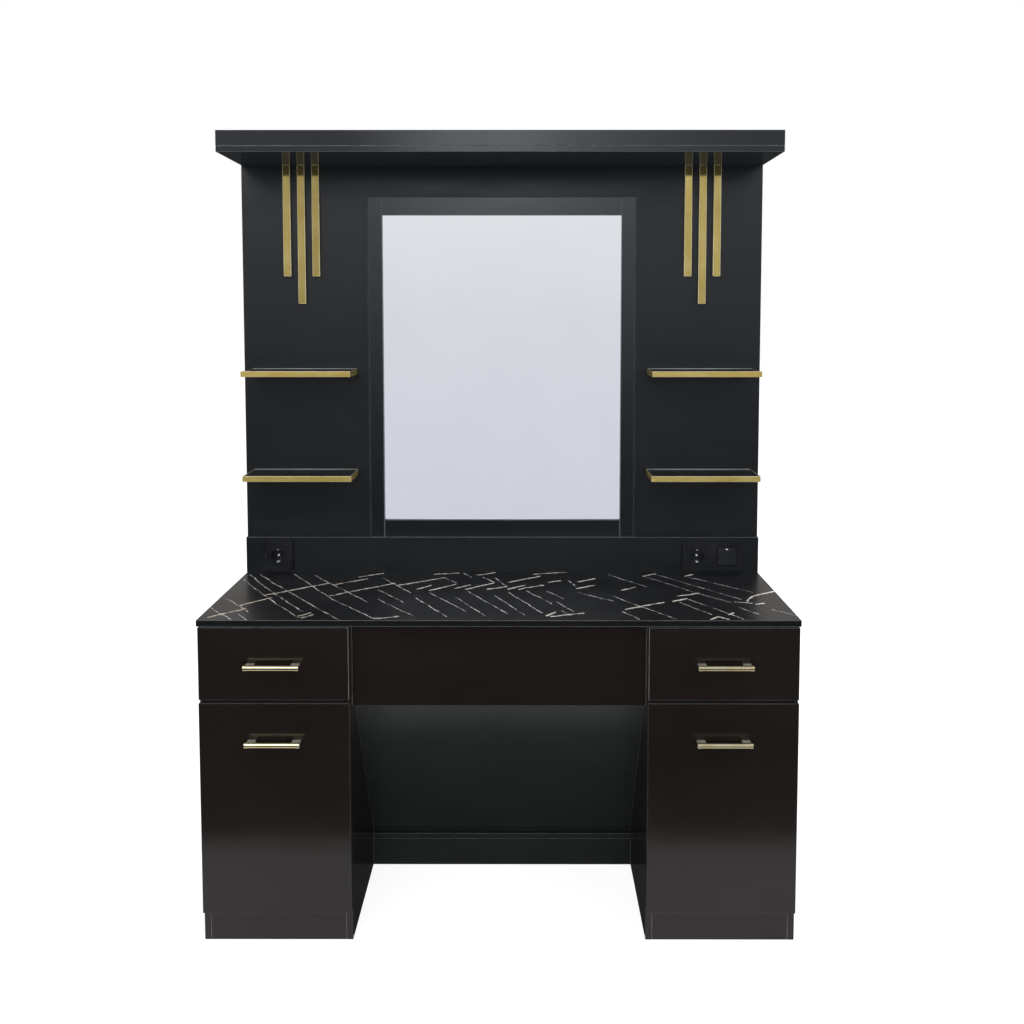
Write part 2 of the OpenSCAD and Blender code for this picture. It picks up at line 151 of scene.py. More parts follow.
def laminate(name, dark, light, gloss, level=0.5, side_highlight=None, underside_fill=None):
    """Melamine-faced board: cloudy tone, faint wiping marks and the dimpled press finish.
    The side tone is painted on the faces that don't look forwards or backwards, a painted highlight
    standing for light caught on the edge banding; the downward tone is painted on the faces that
    look down, painted light that lifts their shade."""
    s = Shader(name)
    cloud = s.noise(2.5, 4.0, 0.6)
    fine = s.noise(220.0, 2.0, 0.6)
    tone = s.mix(s.span(cloud, 0.3, 0.7, 0.0, 1.0), dark, light)
    tone = s.mix(s.span(fine, 0.60, 0.80, 0.0, 0.35), tone, tuple(1.8 * c for c in light))
    # Painted highlight: the side, top and bottom faces get a paler tone.
    if side_highlight:
        side_highlight_mask = s.span(s.math("ABSOLUTE", s.normal["Y"]), 0.3, 0.5, 1.0, 0.0)
        tone = s.mix(side_highlight_mask, tone, side_highlight)
    # Painted light: the downward faces get a paler tone that lifts their shade.
    if underside_fill:
        tone = s.mix(s.span(s.normal["Z"], -0.9, -0.7, 1.0, 0.0), tone, underside_fill)
    wiped = s.noise(5.0, 5.0, 0.65, s.stretch((0.6, 1.0, 3.0)))
    rough = s.math("ADD", s.span(wiped, 0.3, 0.75, gloss * 0.85, gloss * 1.2),
                   s.span(fine, 0.3, 0.8, 0.0, 0.02))
    s.set(Base_Color=tone, Roughness=rough, Specular_IOR_Level=level)
    dimples = s.math("ADD", s.noise(700.0, 2.0, 0.5), s.math("MULTIPLY", s.noise(9.0, 2.0), 0.6))
    return s.bump(dimples, 0.05, 0.2 * MM).material


def painted_edge_highlight(name, tone):
    """The trimmed rounding of an edge, painted paler than the faces as a painted highlight, and
    unevenly scuffed.
    """
    s = Shader(name)
    scuffs = s.noise(34.0, 4.0, 0.7)
    colour = s.mix(s.span(scuffs, 0.35, 0.65, 0.0, 1.0), tone, tuple(0.45 * c for c in tone))
    s.set(Base_Color=colour, Roughness=s.span(scuffs, 0.3, 0.7, 0.22, 0.45))
    return s.material


def polished_gold(name, deep, pale, rough, grain, metallic=1.0):
    """Gold-plated profile: soft tarnish and faint drawing lines, drawn out by the scale grain."""
    s = Shader(name)
    tarnish = s.noise(14.0, 4.0, 0.6)
    lines = s.noise(160.0, 3.0, 0.5, s.stretch(grain))
    tone = s.mix(s.span(tarnish, 0.35, 0.65, 0.0, 1.0), deep, pale)
    tone = s.mix(s.span(lines, 0.4, 0.7, 0.0, 0.25), tone, tuple(0.7 * c for c in deep))
    s.set(Base_Color=tone, Metallic=metallic,
          Roughness=s.math("ADD", s.span(tarnish, 0.3, 0.7, rough, rough * 1.6),
                           s.span(lines, 0.3, 0.7, 0.0, 0.03)))
    return s.bump(lines, 0.06, 0.05 * MM).material


def champagne_handle():
    """Polished round bar with yellow-white lustre; the flat legs behind it are finely brushed."""
    s = Shader("champagne_gold")
    bar_depth, fade = 13 * MM, 0.5 * MM
    bar_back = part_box("handle_drawer_left")[0].y + bar_depth
    leg = s.span(s.place("Y"), bar_back, bar_back + fade, 0.0, 1.0)
    cloud = s.noise(40.0, 4.0, 0.6)
    lines = s.noise(260.0, 3.0, 0.5, s.stretch((0.04, 1.0, 1.0)))
    tone = s.mix(s.span(cloud, 0.35, 0.65, 0.0, 1.0), (0.80, 0.66, 0.37), (0.88, 0.77, 0.52))
    tone = s.mix(s.span(lines, 0.4, 0.7, 0.0, 0.2), tone, (0.55, 0.42, 0.20))
    tone = s.mix(leg, tone, (0.44, 0.41, 0.33))
    s.set(Base_Color=tone, Metallic=s.span(leg, 0.0, 1.0, 1.0, 0.35),
          Roughness=s.math("ADD", s.span(leg, 0.0, 1.0, 0.08, 0.38),
                           s.span(cloud, 0.3, 0.7, 0.0, 0.05)))
    return s.bump(lines, 0.08, 0.05 * MM).material


def silvered_mirror():
    """Silvered glass, perfectly sharp, with faint wiping streaks in its tone."""
    s = Shader("silvered_mirror")
    haze = s.noise(6.0, 4.0, 0.6)
    smear = s.noise(3.0, 5.0, 0.7, s.stretch((3.0, 1.0, 0.8)))
    tone = s.mix(s.span(haze, 0.3, 0.7, 0.0, 1.0), (0.915, 0.92, 0.935), (0.935, 0.94, 0.95))
    tone = s.mix(s.span(smear, 0.45, 0.8, 0.0, 0.4), tone, (0.90, 0.905, 0.925))
    s.set(Base_Color=tone, Metallic=1.0, Roughness=0.0)
    return s.material


def zinc_steel(name, tone, rough, metallic=1.0):
    """Zinc-plated pressed steel: passivated patches and rolling lines."""
    s = Shader(name)
    patch = s.noise(60.0, 4.0, 0.65)
    rolled = s.noise(120.0, 2.0, 0.5, s.stretch((4.0, 0.15, 4.0)))
    colour = s.mix(s.span(patch, 0.3, 0.7, 0.0, 1.0), tone, tuple(0.75 * c for c in tone))
    s.set(Base_Color=colour, Metallic=metallic,
          Roughness=s.math("ADD", s.span(patch, 0.3, 0.7, rough, rough * 1.5),
                           s.span(rolled, 0.3, 0.7, 0.0, 0.08)))
    return s.bump(rolled, 0.1, 0.05 * MM).material


def moulded_plastic(name, tone, rough):
    """Injection-moulded plastic: very fine grain and slight flow marks."""
    s = Shader(name)
    grain = s.noise(1800.0, 2.0, 0.6)
    flow = s.noise(25.0, 3.0, 0.5)
    colour = s.mix(s.span(flow, 0.3, 0.7, 0.0, 1.0), tone, tuple(1.5 * c + 0.002 for c in tone))
    s.set(Base_Color=colour, Roughness=s.span(flow, 0.3, 0.7, rough, rough * 1.3))
    return s.bump(grain, 0.08, 0.03 * MM).material


def sawn_wood():
    """Planed softwood battens with growth rings, pores and a few knots."""
    s = Shader("sawn_wood")
    wander = s.vector("SCALE", s.noise(3.0, 3.0, colour=True), scale=0.02)
    bent = s.vector("ADD", s.position, wander)
    along = s.add("ShaderNodeMapping", {"Vector": bent, "Scale": (0.12, 1.0, 1.0)}).outputs[0]
    rings = s.add("ShaderNodeTexWave", {
        "Vector": along, "Scale": 55.0, "Distortion": 3.0, "Detail": 3.0, "Detail Scale": 1.5},
        bands_direction="Z").outputs["Fac"]
    pores = s.noise(300.0, 3.0, 0.6, s.stretch((0.05, 1.0, 1.0)))
    knots = s.cells(2.2, s.stretch((1.0, 6.0, 6.0)))
    colour = s.mix(s.span(rings, 0.2, 0.9, 0.0, 1.0), (0.56, 0.38, 0.20), (0.36, 0.21, 0.095))
    colour = s.mix(s.span(pores, 0.45, 0.8, 0.0, 0.5), colour, (0.27, 0.15, 0.07))
    colour = s.mix(s.span(knots, 0.0, 0.07, 0.85, 0.0, True), colour, (0.12, 0.055, 0.025))
    s.set(Base_Color=colour, Roughness=s.span(pores, 0.3, 0.7, 0.55, 0.75))
    return s.bump(s.math("ADD", rings, pores), 0.25, 0.2 * MM).material


# Veins of the printed marble on the worktop, drawn one by one: x0, y0, x1, y1 in centimetres.
# Fine pale veins run from rear left to front right.
FINE_VEINS = [
    (-73.5, 19, -63, 2), (-63, 2, -50, -16.5), (-70.5, 19, -60.5, 5), (-60.5, 5, -39.5, -23.5),
    (-73.5, 13.5, -64.5, -1), (-64.5, -1, -50, -21.5), (-74, -3.5, -64, -16.5),
    (-74.5, -13, -66.5, -23), (-66, -18.5, -62.5, -23.6), (-60.5, 19.5, -45, -5),
    (-45, -5, -31.5, -21.5), (-54.5, 18.5, -47, 8), (-47, 8, -34.5, -8.5), (-34, 15.5, -24.5, 0.5),
    (-33.5, 3, -25.5, -8), (-32.5, -5.5, -21.5, -20), (-22.5, -4.5, -13, -20.5),
    (-19.5, 1, -8.5, -16.5), (-16.5, 16, -12.5, 10), (-12, -3.5, -3.5, -20), (-9, 2, 2, -18),
    (-11.5, 21.5, -8.5, 16), (-5.5, 16.5, -2, 10.5), (-1.5, -2, 6.5, -19.5), (-2, 15.5, 1.5, 7),
    (2, 1, 11, -17.5), (7, 2.5, 13.5, -9.5), (12.5, 2, 17, -5), (15, -7.5, 19, -16.5),
    (19, 12.5, 21, 6.5), (21, 1, 30, -7.5), (16, -15.5, 18, -19.5), (31, 19, 40.5, 6.5),
    (30, -2.5, 44, -22.5), (31.5, -16.5, 35, -22.5), (41, 17.5, 53.5, 0), (53.5, 0, 60.5, -8.5),
    (45, 19, 64, -5.5), (53, 17.5, 68.5, 1), (47, -8, 53.5, -19), (50, -5.5, 61, -22.5),
    (62, -13, 65.5, -18.5), (70, -14.5, 74.8, -19.5)]
# Broader gold and cream veins run from front left to rear right.
BROAD_VEINS = [
    (-72.5, -21, -65.5, -14), (-67.5, -11, -61.5, -4.5), (-63.5, -2, -48.5, 10),
    (-46, -2.5, -30, 10), (-47, 8, -38.5, 14.5), (-41, 16.5, -35, 20.5), (-50, -20, -48, -17.5),
    (-49, -21.5, -47, -19), (-31, -22, -25.5, -20.5), (-28.5, 8, -16.5, 16), (-23, 4, -19.5, 8),
    (-19.5, 3, -13, 8.5), (-13, 4.5, -9, 8), (-19.5, 19.5, -12.5, 21), (-9.5, 4, -2.5, 10),
    (-7.5, 18.5, -2, 21.5), (-3.5, 4, 1.5, 6.5), (2, 4, 6.5, 8), (5, 4, 11.5, 8),
    (2, 11, 11, 17.5), (9.5, 19.5, 18.5, 22), (13.5, 11, 16.5, 12.5), (21, 4.5, 26, 8),
    (22, 11.5, 26.5, 15), (12, -20, 14.5, -16.5), (13, -20.5, 21.5, -17.5), (41, 17.5, 44.5, 20),
    (53, 17.5, 55.5, 19.5), (33.5, 3, 37, 6), (32.5, -14.5, 38, -11), (38, -11, 43, -8.5),
    (47.5, -2.5, 54, 0), (45.5, -7.5, 49.5, -5), (65.5, -7, 67.5, -3), (67.5, -3, 74.7, 2),
    (67, -10, 69, -9), (62, -8, 66, -9), (53, -22.5, 55, -20.5), (55, -20.5, 57, -22.5),
    (58, -19, 59.5, -17.5)]


def vein_mask(s, place, veins, width, swell):
    """1 on the centre lines of the veins, falling to 0 at width times swell from them."""
    nearest = None
    for x0, y0, x1, y1 in veins:
        start = Vector((x0, y0, 0)) / 100
        run = Vector((x1, y1, 0)) / 100 - start
        from_start = s.vector("SUBTRACT", place, tuple(start))
        along = s.vector("DOT_PRODUCT", from_start, tuple(run / run.length_squared))
        along = s.math("MINIMUM", s.math("MAXIMUM", along, 0.0), 1.0)
        gap = s.vector("SUBTRACT", from_start, s.vector("SCALE", tuple(run), scale=along))
        gap = s.vector("LENGTH", gap)
        nearest = gap if nearest is None else s.math("MINIMUM", nearest, gap)
    return s.span(s.math("DIVIDE", nearest, swell), width, width * 0.25, 0.0, 1.0, True)


def marble_laminate():
    """Black marble print: listed veins that wander and fade, on the top face only."""
    s = Shader("marble_laminate")
    flatten, middle = (1.0, 1.0, 0.0), (0.5, 0.5, 0.5)
    flat = s.vector("MULTIPLY", s.position, flatten)
    sway = s.vector("SCALE", s.vector("SUBTRACT", s.noise(16.0, 2.0, colour=True, vector=flat),
                                      middle), scale=12 * MM)
    shake = s.vector("SCALE", s.vector("SUBTRACT", s.noise(110.0, 3.0, colour=True, vector=flat),
                                       middle), scale=5 * MM)
    place = s.vector("MULTIPLY", s.vector("ADD", s.vector("ADD", flat, sway), shake), flatten)
    swell = s.span(s.noise(75.0, 3.0, 0.6), 0.36, 0.66, 0.5, 1.9)
    strength = s.span(s.noise(38.0, 3.0, 0.6), 0.38, 0.56, 0.12, 1.0)
    fine = s.math("MULTIPLY", vein_mask(s, place, FINE_VEINS, 1.6 * MM, swell), strength)
    broad = s.math("MULTIPLY", vein_mask(s, place, BROAD_VEINS, 3.8 * MM, swell),
                   s.span(s.noise(26.0, 3.0, 0.6), 0.34, 0.52, 0.6, 1.0))
    cracks = s.span(s.cells(13.0, place, "DISTANCE_TO_EDGE"), 0.0, 0.012, 0.10, 0.0)
    top = s.span(s.normal["Z"], 0.95, 0.99, 0.0, 1.0)
    stone = s.mix(s.span(s.noise(7.0, 5.0, 0.65), 0.35, 0.7, 0.0, 1.0),
                  (0.0070, 0.0070, 0.0072), (0.0175, 0.0180, 0.0190))
    stone = s.mix(top, (0.0040, 0.0038, 0.0035), stone)
    stone = s.mix(s.math("MULTIPLY", cracks, top), stone, (0.16, 0.16, 0.17))
    pale = s.mix(s.span(s.noise(20.0), 0.35, 0.55, 0.0, 1.0), (0.62, 0.62, 0.63), (1.0, 0.98, 0.94))
    warmer_at_left = s.span(s.place("X"), -0.62, -0.40, -0.4, 0.8)
    cream = s.math("ADD", s.span(s.noise(9.0, 2.0), 0.38, 0.50, 0.0, 1.0), warmer_at_left)
    gold = s.mix(s.span(cream, 0.0, 1.0, 0.0, 1.0), (0.88, 0.60, 0.31), (1.0, 0.96, 0.84))
    stone = s.mix(s.math("MULTIPLY", fine, top), stone, pale)
    stone = s.mix(s.math("MULTIPLY", broad, top), stone, gold)
    grain = s.noise(420.0, 3.0, 0.6)
    s.set(Base_Color=stone, Roughness=s.span(grain, 0.3, 0.7, 0.26, 0.36), Specular_IOR_Level=0.5)
    return s.bump(grain, 0.12, 0.08 * MM).material


UPRIGHT = (1.0, 1.0, 0.04)      # drawing lines run up the strips
LEVEL = (0.04, 1.0, 1.0)        # drawing lines run along the shelf trims
BROWN_DARK, BROWN_LIGHT = (0.0085, 0.0060, 0.0048), (0.0115, 0.0088, 0.0074)
materials = {
    "black": laminate("black_laminate", (0.0046, 0.0054, 0.0063), (0.0072, 0.0082, 0.0094), 0.30),
    # The pelmet's downward faces are painted paler: painted light lifting the shade beneath the
    # pelmet.
    "pelmet": laminate("pelmet_laminate_painted_underside", (0.0085, 0.0094, 0.0108), (0.0130, 0.0140, 0.0155), 0.13,
                       underside_fill=(0.046, 0.058, 0.067)),
    "frame": laminate("frame_laminate", (0.0052, 0.0062, 0.0072), (0.0082, 0.0094, 0.0106), 0.17,
                      level=0.8),
    "brown": laminate("brown_black_laminate", BROWN_DARK, BROWN_LIGHT, 0.17),
    # Door and drawer fronts: their side, top and bottom faces are painted paler, a painted
    # highlight.
    "brown front": laminate("brown_laminate_painted_side_highlight", BROWN_DARK, BROWN_LIGHT, 0.17,
                            side_highlight=(0.060, 0.056, 0.053)),
    # Kneehole boards: painted paler than the other black boards, painted light that lifts the shade
    # in the kneehole.
    "knee": laminate("knee_laminate_painted_fill", (0.0120, 0.0132, 0.0128), (0.0160, 0.0172, 0.0166), 0.25),
    "inside": laminate("inside_laminate", (0.016, 0.016, 0.017), (0.024, 0.024, 0.025), 0.35),
    "marble": marble_laminate(),
    "gold": polished_gold("polished_gold", (0.62, 0.44, 0.125), (0.72, 0.54, 0.19), 0.05, UPRIGHT),
    "trim": polished_gold("gold_trim", (0.70, 0.50, 0.130), (0.80, 0.60, 0.20), 0.12, LEVEL,
                          metallic=0.6),
    "handle": champagne_handle(),
    "mirror": silvered_mirror(),
    "steel": zinc_steel("zinc_steel", (0.62, 0.62, 0.63), 0.25),
    # Socket contacts: near-white and mostly diffuse, a painted glint that keeps them bright.
    "contact": zinc_steel("contact_nickel_painted_glint", (1.0, 1.0, 0.98), 0.38, metallic=0.30),
    "plastic": moulded_plastic("black_plastic", (0.008, 0.008, 0.009), 0.16),
    "box": moulded_plastic("box_plastic", (0.22, 0.070, 0.020), 0.45),
    "seal": moulded_plastic("seal_plastic", (0.26, 0.26, 0.25), 0.3),
    "lens": moulded_plastic("indicator_lens", (0.62, 0.62, 0.58), 0.2),
    "wood": sawn_wood(),
    # Paler materials for the rounded edges: painted highlights where light catches the edges and
    # rims.
    "black edge highlight": painted_edge_highlight("black_edge_highlight", (0.105, 0.110, 0.118)),
    "brown edge highlight": painted_edge_highlight("brown_edge_highlight", (0.170, 0.158, 0.148)),
    "plastic edge highlight": painted_edge_highlight("plastic_edge_highlight", (0.050, 0.052, 0.056)),
    "gold edge highlight": polished_gold("gold_edge_highlight", (0.92, 0.78, 0.42), (0.96, 0.86, 0.58), 0.30, UPRIGHT,
                               metallic=0.55),
}

# What each material slot of the record wears, where dress_cad_nodes names nothing else.
SLOT_MATERIALS = {
    "marble_laminate": "marble", "black_laminate": "black", "brown_black_laminate": "brown",
    "inside_laminate": "inside", "raw_wood": "wood",
    "gold_trim": "trim", "gold_handle": "handle", "mirror_glass": "mirror",
    "zinc_steel": "steel", "black_plastic": "plastic", "box_plastic": "box"}
# What the rounded edges of a material wear: a paler tone, a painted highlight; the others keep the
# tone of their faces.
EDGE_HIGHLIGHTS = {
    "marble": "black edge highlight", "black": "black edge highlight", "frame": "black edge highlight", "pelmet": "black edge highlight",
    "knee": "black edge highlight", "brown": "brown edge highlight", "brown front": "brown edge highlight",
    "gold": "gold edge highlight", "trim": "gold edge highlight", "plastic": "plastic edge highlight"}
# Width of the rounding in millimetres, by the start of the node's name.
EDGE_MM = {"worktop": 1.2, "door": 1.3, "drawer_front": 1.3, "handle": 0.7, "gold": 1.6,
           "wall_plates": 1.2, "switch_rocker": 1.0, "shelf_trims": 0.9, "slide": 0.25,
           "apron": 1.5, "mirror_glass": 0.3, "pelmet": 1.2, "frame": 1.3, "upstand": 1.3}
OTHER_EDGE_MM = 0.8
SHARP_ANGLE = math.radians(35)


def soften(obj, width_mm, highlight_key):
    """Welds the split vertices of the import and rounds every sharp edge."""
    weld = obj.modifiers.new("weld", "WELD")
    weld.merge_threshold = 0.01 * MM
    bevel = obj.modifiers.new("bevel", "BEVEL")
    bevel.width = width_mm * MM
    bevel.segments = 3
    bevel.limit_method = "ANGLE"
    bevel.angle_limit = SHARP_ANGLE
    bevel.harden_normals = True
    # The rounding wears the paler edge material, a painted highlight along the edge.
    if highlight_key:
        obj.data.materials.append(materials[highlight_key])
        bevel.material = 1
    normals = obj.modifiers.new("normals", "WEIGHTED_NORMAL")
    normals.keep_sharp = True


def dress_cad_nodes():
    for part in frame["record"]["subparts"]:
        node = part["node"]
        key = SLOT_MATERIALS[part["material_slot"]]
        if node.startswith("gold_strips"):
            key = "gold"
        elif node.startswith(("door_", "drawer_front_")):
            key = "brown front"
        elif node.startswith("knee_"):
            key = "knee"
        elif node.startswith(("frame_", "pelmet_")):
            key = node.split("_")[0]
        elif node == "socket_contacts":
            key = "contact"
        nodes[node].data.materials.clear()
        nodes[node].data.materials.append(materials[key])
        if key != "wood":
            width_mm = next((w for start, w in EDGE_MM.items() if node.startswith(start)),
                            OTHER_EDGE_MM)
            soften(nodes[node], width_mm, EDGE_HIGHLIGHTS.get(key))


dress_cad_nodes()


# ---------------------------------------------------------------- small hardware

def mesh_piece(name, bm, material, body):
    """Turns the finished bmesh into a piece that rides on body and takes the finish named by
    material.
    """
    bmesh.ops.recalc_face_normals(bm, faces=bm.faces)
    mesh = bpy.data.meshes.new(name)
    bm.to_mesh(mesh)
    bm.free()
    for face in mesh.polygons:
        face.use_smooth = True
    obj = bpy.data.objects.new(name, mesh)
    scene.collection.objects.link(obj)
    mesh.materials.append(materials[material])
    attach(obj, body)


def add_screw(bm, place, facing, radius, height):
    """A domed head with a cross recess, standing on place and looking along facing."""
    rings, spokes, foot_depth = 9, 40, 0.1 * MM
    turn = Vector((0, 0, 1)).rotation_difference(Vector(facing)).to_matrix().to_4x4()
    put = Matrix.Translation(place) @ turn
    half_width, half_length, depth = 0.13 * radius, 0.62 * radius, 0.55 * height

    def ring(r):
        """The spokes' crossings with the circle of radius r."""
        angles = [2 * math.pi * j / spokes for j in range(spokes if r else 1)]
        return [(r * math.cos(a), r * math.sin(a)) for a in angles]

    def dome(x, y, r):
        z = height * math.sqrt(max(0.0, 1 - 0.85 * (r / radius) ** 2))
        short, long = sorted((abs(x), abs(y)))
        return z - depth if short < half_width and long < half_length else z

    loops = []
    for i in range(rings + 1):
        r = radius * i / rings
        loops.append([bm.verts.new(put @ Vector((x, y, dome(x, y, r)))) for x, y in ring(r)])
    loops.append([bm.verts.new(put @ Vector((x, y, -foot_depth))) for x, y in ring(radius)])
    for j in range(spokes):
        k = (j + 1) % spokes
        bm.faces.new((loops[0][0], loops[1][j], loops[1][k]))
        for inner, outer in zip(loops[1:-1], loops[2:]):
            bm.faces.new((inner[j], outer[j], outer[k], inner[k]))
    bm.faces.new(loops[-1])


def screws(name, places, facing, radius, height, body):
    bm = bmesh.new()
    for place in places:
        add_screw(bm, Vector(place), facing, radius, height)
    mesh_piece(name, bm, "steel", body)


def centre(node):
    lo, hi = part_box(node)
    return (lo + hi) / 2


def handle_screws():
    """Heads of the two screws of each handle, seen from inside the drawer or the door."""
    leg_gap = 56 * MM
    box_board = 12 * MM
    for side, _ in SIDES:
        box_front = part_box("drawer_box_" + side)[0].y + box_board
        door_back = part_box("door_" + side)[1].y
        for kind, y in (("drawer", box_front), ("door", door_back)):
            grip = centre(f"handle_{kind}_{side}")
            places = [(grip.x + i * leg_gap, y, grip.z) for i in (-1, 1)]
            screws(f"handle_screws_{kind}_{side}", places, (0, 1, 0), 4 * MM, 1.8 * MM,
                   f"{kind}_{side}")


def hinge_screws():
    """Two screws in the flange of each hinge cup and two in the plate of each hinge arm."""
    flange_half, cup_gap = 26 * MM, 21.5 * MM
    plate, plate_setback, plate_gap = 3 * MM, 37 * MM, 15 * MM
    head = (3.2 * MM, 1.2 * MM)
    for side, s in SIDES:
        lo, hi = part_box("hinge_cups_" + side)
        x = (lo.x + hi.x) / 2
        heights = [lo.z + flange_half, hi.z - flange_half]
        places = [(x, hi.y, z + i * cup_gap) for z in heights for i in (-1, 1)]
        screws("hinge_cup_screws_" + side, places, (0, 1, 0), *head, "door_" + side)
        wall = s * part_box("side_outer_right")[0].x - s * plate
        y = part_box("side_outer_right")[0].y + plate_setback
        places = [(wall, y, z + i * plate_gap) for z in heights for i in (-1, 1)]
        screws("hinge_plate_screws_" + side, places, (-s, 0, 0), *head, "root")


def panel_screws():
    """Screws through the back panel into the cabinet sides and the mirror's frame."""
    side_heights = (0.04, 0.24, 0.40, 0.56, 0.70)
    frame_heights = (0.96, 1.15, 1.35, 1.55, 1.75, 1.90)
    stile_x = 0.365
    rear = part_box("back_panel")[1].y
    columns = [centre(f"side_{place}_{side}").x
               for side, _ in SIDES for place in ("outer", "inner")]
    places = [(x, rear, z) for x in columns for z in side_heights]
    for z in frame_heights:
        places += [(s * centre("frame_rail_top").x + s * stile_x, rear, z) for s in (-1, 1)]
    screws("panel_screws", places, (0, 1, 0), 4.5 * MM, 1.0 * MM, "root")


def switch_indicator():
    """The small pale lens near the top of the rocker, tilted like the switched-off rocker."""
    lens_size = (7 * MM, 1.2 * MM, 2.2 * MM)
    rounding = 0.5 * MM
    tilt, up = math.radians(4), 20 * MM
    axis_y, rocker_thick = 210 * MM, 5 * MM
    lo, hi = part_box("switch_rocker")
    bm = bmesh.new()
    bmesh.ops.create_cube(bm, size=1.0)
    bmesh.ops.scale(bm, vec=lens_size, verts=bm.verts)
    bmesh.ops.bevel(bm, geom=bm.edges[:], offset=rounding, segments=3, affect="EDGES", profile=0.7)
    place = Vector(((lo.x + hi.x) / 2, axis_y - rocker_thick + up * math.sin(tilt),
                    centre("wall_plates").z + up))
    put = Matrix.Translation(place) @ Matrix.Rotation(-tilt, 4, "X")
    bmesh.ops.transform(bm, matrix=put, verts=bm.verts)
    mesh_piece("switch_indicator", bm, "lens", "switch_rocker")


def shelf_seals():
    """A thin rounded seal along the joint between each wall shelf and the back panel."""
    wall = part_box("back_panel")[0].y
    thick, arc_steps = 2.2 * MM, 10
    for side, _ in SIDES:
        lo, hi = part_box("wall_shelves_" + side)
        bm = bmesh.new()
        for top in (hi.z, lo.z + BOARD):
            angles = [math.radians(90 * i / arc_steps) for i in range(arc_steps + 1)]
            outline = [(wall - thick * math.cos(a), top + thick * math.sin(a)) for a in angles]
            outline.append((wall, top))
            ends = [[bm.verts.new((x, y, z)) for y, z in outline] for x in (lo.x, hi.x)]
            for i in range(len(outline)):
                k = (i + 1) % len(outline)
                bm.faces.new((ends[0][i], ends[0][k], ends[1][k], ends[1][i]))
            bm.faces.new(ends[0])
            bm.faces.new(ends[1])
        mesh_piece("shelf_seals_" + side, bm, "seal", "root")


handle_screws()
hinge_screws()
shelf_seals()
panel_screws()
switch_indicator()


# ---------------------------------------------------------------- studio

def floor_paint(name, tone, glow_near, glow_far):
    """Pale floor whose own light goes from glow_near to glow_far with the distance."""
    s = Shader(name)
    away = s.vector("LENGTH", s.vector("MULTIPLY", s.position, (0.7, 1.0, 0.0)))
    speckle = s.noise(90.0, 2.0)
    s.set(Base_Color=s.mix(speckle, tuple(0.98 * c for c in tone), tone), Roughness=0.8,
          Specular_IOR_Level=0.1, Emission_Color=(1, 1, 1, 1),
          Emission_Strength=s.span(away, 0.7, 2.4, glow_near, glow_far, True))
    return s.material


def floor(name, material, x, y0, y1, z, **seen_by):
    """A level card, 2 x wide, from y0 to y1; seen_by hides it from kinds of rays."""
    mesh = bpy.data.meshes.new(name)
    mesh.from_pydata([(-x, y0, z), (x, y0, z), (x, y1, z), (-x, y1, z)], [], [(0, 1, 2, 3)])
    mesh.materials.append(material)
    obj = bpy.data.objects.new(name, mesh)
    scene.collection.objects.link(obj)
    for ray, seen in seen_by.items():
        setattr(obj, "visible_" + ray, seen)


# The camera sees a wide floor that melts into the white. Reflections and indirect light see only
# a strip along the object's front.
floor("floor_shown", floor_paint("floor_shown", (0.32, 0.32, 0.32), 0.88, 1.0),
      30, -30, 30, 0, glossy=False, diffuse=False, transmission=False)
floor("floor_reflected", floor_paint("floor_reflected", (0.5, 0.5, 0.5), 0.5, 0.5),
      3, -0.72, -0.195, -0.5 * MM, camera=False)


